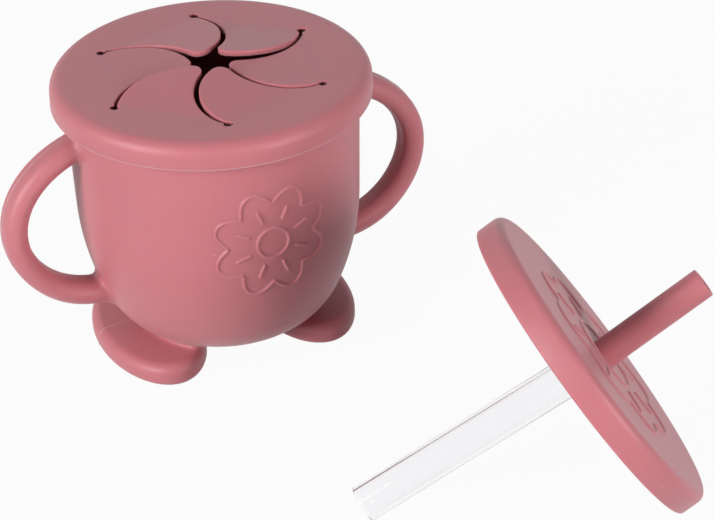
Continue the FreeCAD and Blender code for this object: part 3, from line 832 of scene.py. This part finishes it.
def makeSpout():
    turns = fullTurn(strawSet["around"])
    r, bore, rim = strawSet["spoutRadius"], strawSet["spoutBore"], strawSet["spoutRimRound"]
    top, deck, flange = strawSet["spoutRise"], lid["deck"], strawSet["flangeThickness"]
    out, stem = strawSet["flangeRadius"], strawSet["stemLength"]
    outline = [(lidPlace, x, z) for x, z in arcPoints((bore + rim, top - rim), rim, 180, 90, 5)]
    outline += [(lidPlace, x, z) for x, z in arcPoints((r - rim, top - rim), rim, 90, 0, 5)]
    run = top - strawSet["rimRun"]
    outline += [(lidPlace, r, z) for z in np.linspace(run, -deck, 12)]
    outline += [(lidPlace, out - rim, -deck)]
    outline += [(lidPlace, x, z) for x, z in arcPoints((out - rim, -deck - rim), rim, 60, 0, 3)]
    outline += [(lidPlace, x, z) for x, z in arcPoints((out - rim, -deck - flange + rim), rim, 0, -90, 4)]
    under = -flange / 2 - r * math.tan(math.radians(strawSet["stemSlope"]))
    outline += [(strawPlace, r, under), (strawPlace, r, rim - stem), (strawPlace, r - rim, -stem)]
    outline += [(strawPlace, bore, -stem), (strawPlace, bore, 0)]
    outline += [(lidPlace, bore, z) for z in (0.0, top / 2, run)]
    faces = [face[::-1] for face in ringFaces(len(outline), len(turns))]
    piece = makePiece("spout_tube", tubeRings(outline, turns), faces, silicone, sharpAngle=50)
    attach(piece, "spout")
    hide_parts("spout")
    print("spout tube:", len(faces), "faces")


def makeStraw():
    turns = fullTurn(strawSet["around"])
    bore = strawSet["spoutRadius"] + strawSet["strawFit"]
    r, rim = bore + strawSet["strawWall"], strawSet["strawRimRound"]
    # The straw's tip lies on the table, which gives its length along its own axis.
    length = (strawPlace.translation.z - r * math.cos(strawSlope)) / math.sin(strawSlope)
    top, tip = -strawSet["strawSeat"], -length
    flat = arcPoints((bore + rim, top - rim), rim, 180, 90, 4)
    flat += arcPoints((r - rim, top - rim), rim, 90, 0, 4)
    flat += arcPoints((r - rim, tip + rim), rim, 0, -90, 4)
    flat += arcPoints((bore + rim, tip + rim), rim, -90, -180, 4)
    faces = [face[::-1] for face in ringFaces(len(flat), len(turns))]
    points = tubeRings([(strawPlace, x, z) for x, z in flat], turns)
    piece = makePiece("clear_straw_tube", points, faces, clearPlastic, sharpAngle=50)
    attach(piece, "clear_straw")
    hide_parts("clear_straw")
    print("clear straw:", len(faces), "faces")


makeStrawLid()
makeSpout()
makeStraw()

# Raised lines: ridges with a soft section that lie on a surface

ridge = {"steps": 8, "sink": 0.06, "root": 0.3, "endShare": 0.05}


def ridgePoints(path, normals, width, height, closed):
    # Rings of the section along a path, drawn in at the ends of an open one.
    path, normals = np.asarray(path, float), np.asarray(normals, float)
    if closed:
        along = np.roll(path, -1, 0) - np.roll(path, 1, 0)
        share = np.ones(len(path))
    else:
        along = np.gradient(path, axis=0)
        run = np.concatenate([[0], np.cumsum(np.linalg.norm(np.diff(path, axis=0), axis=1))])
        toEnd = np.clip(np.minimum(run, run[-1] - run) / (width / 2), 0, 1)
        share = np.maximum(np.sqrt(1 - (1 - toEnd) ** 2), ridge["endShare"])
    aside = unitRows(np.cross(normals, along))
    across = np.linspace(1, -1, ridge["steps"] + 1)
    full = height + ridge["sink"]
    section = [(s, full * (0.5 + 0.5 * math.cos(math.pi * s)) - ridge["sink"]) for s in across]
    section += [(-1, -ridge["root"]), (1, -ridge["root"])]
    rings = []
    for place, normal, side, scale in zip(path, normals, aside, share):
        for s, n in section:
            rings.append(place + side * s * width / 2 * scale + normal * n * (scale if n > 0 else 1))
    return rings, len(section)


def addRidges(name, body, paths, width, height, material=silicone):
    # One piece made of several ridges, each a path with its normals and whether it is closed.
    points, faces = [], []
    for path, normals, closed in paths:
        rings, around = ridgePoints(path, normals, width, height, closed)
        first, count = len(points), len(path)
        points += rings
        faces += [[first + n for n in face] for face in ringFaces(count, around, closed)]
        if not closed:
            faces.append([first + n for n in range(around)][::-1])
            faces.append([first + (count - 1) * around + n for n in range(around)])
    piece = makePiece(name, points, faces, material, sharpAngle=60)
    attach(piece, body)
    print(name + ":", len(faces), "faces")


# A flower outline with a round eye and a vein in each petal, on the cup's front and round the spout

flower = {
    "petals": 8,
    "outline": (11.6, 4.6),
    "eye": 4.4,
    "vein": (6.6, 11.2),
    "width": 1.5,
    "height": 0.5,
    "cupZ": 48.0,
    "lidOutline": (20.6, 5.0),
    "lidEye": 10.0,
    "lidVein": (12.4, 19.6),
    "notch": 0.02,  # rounds the notches between the petals
    "outlineSteps": 400,
    "eyeSteps": 100,
    "veinSteps": 40,
}


def flowerPaths(outline, eye, vein):
    turns = fullTurn(flower["outlineSteps"])
    petals = np.sin(turns * flower["petals"] / 2) ** 2
    reach = outline[0] + outline[1] * np.sqrt(petals + flower["notch"])
    paths = [(np.column_stack([reach * np.cos(turns), reach * np.sin(turns)]), True)]
    ring = fullTurn(flower["eyeSteps"])
    paths.append((np.column_stack([eye * np.cos(ring), eye * np.sin(ring)]), True))
    for number in range(flower["petals"]):
        turn = (number + 0.5) * 2 * math.pi / flower["petals"]
        run = np.linspace(*vein, flower["veinSteps"])
        paths.append((np.column_stack([run * math.cos(turn), run * math.sin(turn)]), False))
    return paths


def onWall(flat):
    # A drawing laid on the cup's front, with its sides bent round the wall.
    points, normals = [], []
    for across, up in flat:
        z = flower["cupZ"] + up
        r = cupRadius(z)
        turn = across / cupRadius(flower["cupZ"]) - math.pi / 2
        lean = math.atan(cupRadius(z + 0.5) - cupRadius(z - 0.5))
        points.append((r * math.cos(turn), r * math.sin(turn), z))
        normals.append((math.cos(turn) * math.cos(lean), math.sin(turn) * math.cos(lean), -math.sin(lean)))
    return points, normals


def onStrawLid(flat):
    points = moved(lidPlace, np.column_stack([flat, np.zeros(len(flat))]))
    return points, np.tile(np.array(lidPlace)[:3, 2], (len(flat), 1))


cupFlower = flowerPaths(flower["outline"], flower["eye"], flower["vein"])
addRidges(
    "cup_flower", "cup", [(*onWall(flat), closed) for flat, closed in cupFlower],
    flower["width"], flower["height"]
)
lidFlower = flowerPaths(flower["lidOutline"], flower["lidEye"], flower["lidVein"])
addRidges(
    "lid_flower", "straw_lid", [(*onStrawLid(flat), closed) for flat, closed in lidFlower],
    flower["width"], flower["height"]
)

# Flash that the mould leaves along the handles, over the feet and round the snack lid's hem, in a paler colour
# that paints the highlight along it

parting = {
    "width": 0.45,
    "height": 0.1,
    "reach": 7.0,  # how far the skin is looked for, from inside a handle
    "footReach": 21.0,  # and from inside a foot
    "rayProbes": 60,
    "wallClear": 2,  # the handles' lines end this far from the wall
    "handleSteps": 240,
    "footSteps": 60,
    "handleTurn": 104.0,
    "handleY": 0.5,
    "footAt": (26.5, 4.6, 3.0),
    "footTurns": (140.0, -22.0),
    "hemRise": 0.6,
    "hemWidth": 0.36,
    "hemHeight": 0.09,
}


def skinAlong(starts, aims, reach):
    # Where rays from inside first leave the moulding, for those that do within reach.
    starts, aims = np.asarray(starts, float), np.asarray(aims, float)
    steps = np.linspace(0, reach, parting["rayProbes"])
    outside = mouldingGap(starts[:, None] + aims[:, None] * steps[:, None]) > 0
    leaves = outside.any(1) & ~outside[:, 0]
    starts, aims = starts[leaves], aims[leaves]
    far = steps[outside[leaves].argmax(1)]
    near = far - steps[1]
    for _ in range(20):
        middle = (near + far) / 2
        inside = mouldingGap(starts + aims * middle[:, None]) < 0
        near, far = np.where(inside, middle, near), np.where(inside, far, middle)
    points = starts + aims * near[:, None]
    return points, unitRows(fieldSlope(mouldingGap, points))


def partingPaths(side):
    paths = []
    tilt = math.radians(cup["handleTilt"])
    turns = np.radians(np.linspace(-parting["handleTurn"], parting["handleTurn"], parting["handleSteps"]))
    out, up = cup["handleReach"] * np.cos(turns), cup["handleRise"] * np.sin(turns)
    aimOut, aimUp = np.cos(turns) / cup["handleReach"], np.sin(turns) / cup["handleRise"]
    size = np.hypot(aimOut, aimUp)

    def tilted(u, v, x, y, z):
        return np.column_stack([
            side * (x + u * math.cos(tilt) - v * math.sin(tilt)),
            np.full(len(u), y),
            z + u * math.sin(tilt) + v * math.cos(tilt),
        ])

    starts = tilted(out, up, cup["handleX"], parting["handleY"], cup["handleZ"])
    aims = tilted(aimOut / size, aimUp / size, 0, 0, 0)
    for way in (1, -1):
        clear = np.abs(starts[:, 0]) > cup["bellyRadius"] + parting["wallClear"]
        paths.append((*skinAlong(starts[clear], way * aims[clear], parting["reach"]), False))
    sweep = np.radians(np.linspace(*parting["footTurns"], parting["footSteps"]))
    footX, footY, footZ = parting["footAt"]
    starts = np.tile((side * footX, footY, footZ), (len(sweep), 1))
    aims = np.column_stack([side * np.cos(sweep), np.zeros(len(sweep)), np.sin(sweep)])
    paths.append((*skinAlong(starts, aims, parting["footReach"]), False))
    return paths


def hemPath():
    turns = fullTurn(lid["around"])
    aims = np.column_stack([np.cos(turns), np.sin(turns), np.zeros(len(turns))])
    height = lidTop - lid["skirtDepth"] + parting["hemRise"]
    return aims * lid["radius"] + (0, 0, height), aims, True


cupSeams = partingPaths(1) + partingPaths(-1)
# the seam and hem ridges take the paler flash colour, which is painted highlight
addRidges("parting_lines", "cup", cupSeams, parting["width"], parting["height"], mouldFlashHighlight)
addRidges("hem_flash", "snack_lid", [hemPath()], parting["hemWidth"], parting["hemHeight"], mouldFlashHighlight)

# Stage: a white floor that keeps the shadow, and two low soft boxes on either side of the camera

stage = {
    "floorSize": 6.0,
    "floorColour": (0.6, 0.6, 0.6, 1),
    "floorGlow": 0.95,
    "ambient": (0.02, 0.31),  # at the horizon and overhead
    "leftPlace": (-1.15, -0.34, 0.5),
    "leftSize": 0.5,
    "leftWatts": 14.6,
    "rightPlace": (0.51, -1.14, 0.36),
    "rightSize": 0.42,
    "rightWatts": 9.2,
    "lookAt": (0.02, -0.05, 0.04),
}


def whiteRays(tree):
    # 1 for rays that show the background: seen straight, in gloss or through the clear straw.
    path = addNode(tree, "ShaderNodeLightPath")
    glossy = addNode(tree, "ShaderNodeMath", operation="MAXIMUM")
    seen = addNode(tree, "ShaderNodeMath", operation="MAXIMUM")
    link = tree.links.new
    link(path.outputs["Is Glossy Ray"], glossy.inputs[0])
    link(path.outputs["Is Transmission Ray"], glossy.inputs[1])
    link(path.outputs["Is Camera Ray"], seen.inputs[0])
    link(glossy.outputs["Value"], seen.inputs[1])
    return seen.outputs["Value"]


def makeFloor():
    mesh = bpy.data.meshes.new("floor")
    half = stage["floorSize"] / 2
    corners = [(-half, -half, 0), (half, -half, 0), (half, half, 0), (-half, half, 0)]
    mesh.from_pydata(corners, [], [(0, 1, 2, 3)])
    floor = addObject("floor", mesh)
    material = bpy.data.materials.new("whiteFloor")
    material.use_nodes = True
    tree = material.node_tree
    tree.nodes.clear()
    share = addNode(tree, "ShaderNodeMath", operation="MULTIPLY")
    share.inputs[1].default_value = stage["floorGlow"]
    matte = addNode(tree, "ShaderNodeBsdfDiffuse")
    matte.inputs["Color"].default_value = stage["floorColour"]
    white = addNode(tree, "ShaderNodeEmission")
    mix = addNode(tree, "ShaderNodeMixShader")
    out = addNode(tree, "ShaderNodeOutputMaterial")
    link = tree.links.new
    link(whiteRays(tree), share.inputs[0])
    link(share.outputs["Value"], mix.inputs["Fac"])
    link(matte.outputs["BSDF"], mix.inputs[1])
    link(white.outputs["Emission"], mix.inputs[2])
    link(mix.outputs["Shader"], out.inputs["Surface"])
    mesh.materials.append(material)


def makeWorld():
    world = bpy.data.worlds.new("studio")
    bpy.context.scene.world = world
    world.use_nodes = True
    tree = world.node_tree
    background = tree.nodes["Background"]
    aim = addNode(tree, "ShaderNodeTexCoord")
    height = addNode(tree, "ShaderNodeSeparateXYZ")
    glow = addNode(tree, "ShaderNodeMapRange")
    setSockets(glow, {"To Min": stage["ambient"][0], "To Max": stage["ambient"][1]})
    level = addNode(tree, "ShaderNodeMix")
    level.inputs["B"].default_value = 1
    link = tree.links.new
    link(aim.outputs["Generated"], height.inputs["Vector"])
    link(height.outputs["Z"], glow.inputs["Value"])
    link(glow.outputs["Result"], level.inputs["A"])
    link(whiteRays(tree), level.inputs["Factor"])
    link(level.outputs["Result"], background.inputs["Strength"])
    background.inputs["Color"].default_value = (1, 1, 1, 1)


def addLamp(name, place, size, watts):
    light = bpy.data.lights.new(name, "AREA")
    light.size = size
    light.energy = watts
    lamp = addObject(name, light)
    lamp.location = place
    lamp.rotation_euler = (Vector(stage["lookAt"]) - Vector(place)).to_track_quat("-Z", "Y").to_euler()


makeFloor()
makeWorld()
addLamp("leftLamp", stage["leftPlace"], stage["leftSize"], stage["leftWatts"])
addLamp("rightLamp", stage["rightPlace"], stage["rightSize"], stage["rightWatts"])
print("stage ready")

# Camera at the photograph's angle

shot = {
    "place": (-0.2114, -0.5715, 0.3990),
    "aim": (0.02506, -0.03573, 0.03370),
    "roll": -0.0331,
    "lens": 129.85,
    "sensor": 36.0,
}


def makeCamera():
    camera = bpy.data.cameras.new("photoCamera")
    camera.lens = shot["lens"]
    camera.sensor_width = shot["sensor"]
    camera.sensor_fit = "HORIZONTAL"
    camera.clip_start = 0.01
    camera.clip_end = 20
    ahead = (Vector(shot["aim"]) - Vector(shot["place"])).normalized()
    right = ahead.cross(Vector((0, 0, 1))).normalized()
    up = right.cross(ahead)
    c, s = math.cos(shot["roll"]), math.sin(shot["roll"])
    axes = Matrix((right * c + up * s, up * c - right * s, -ahead)).transposed()
    holder = addObject("photoCamera", camera)
    holder.matrix_world = Matrix.Translation(shot["place"]) @ axes.to_4x4()
    bpy.context.scene.camera = holder


makeCamera()
bpy.context.scene.view_settings.view_transform = "Standard"
print("camera ready")
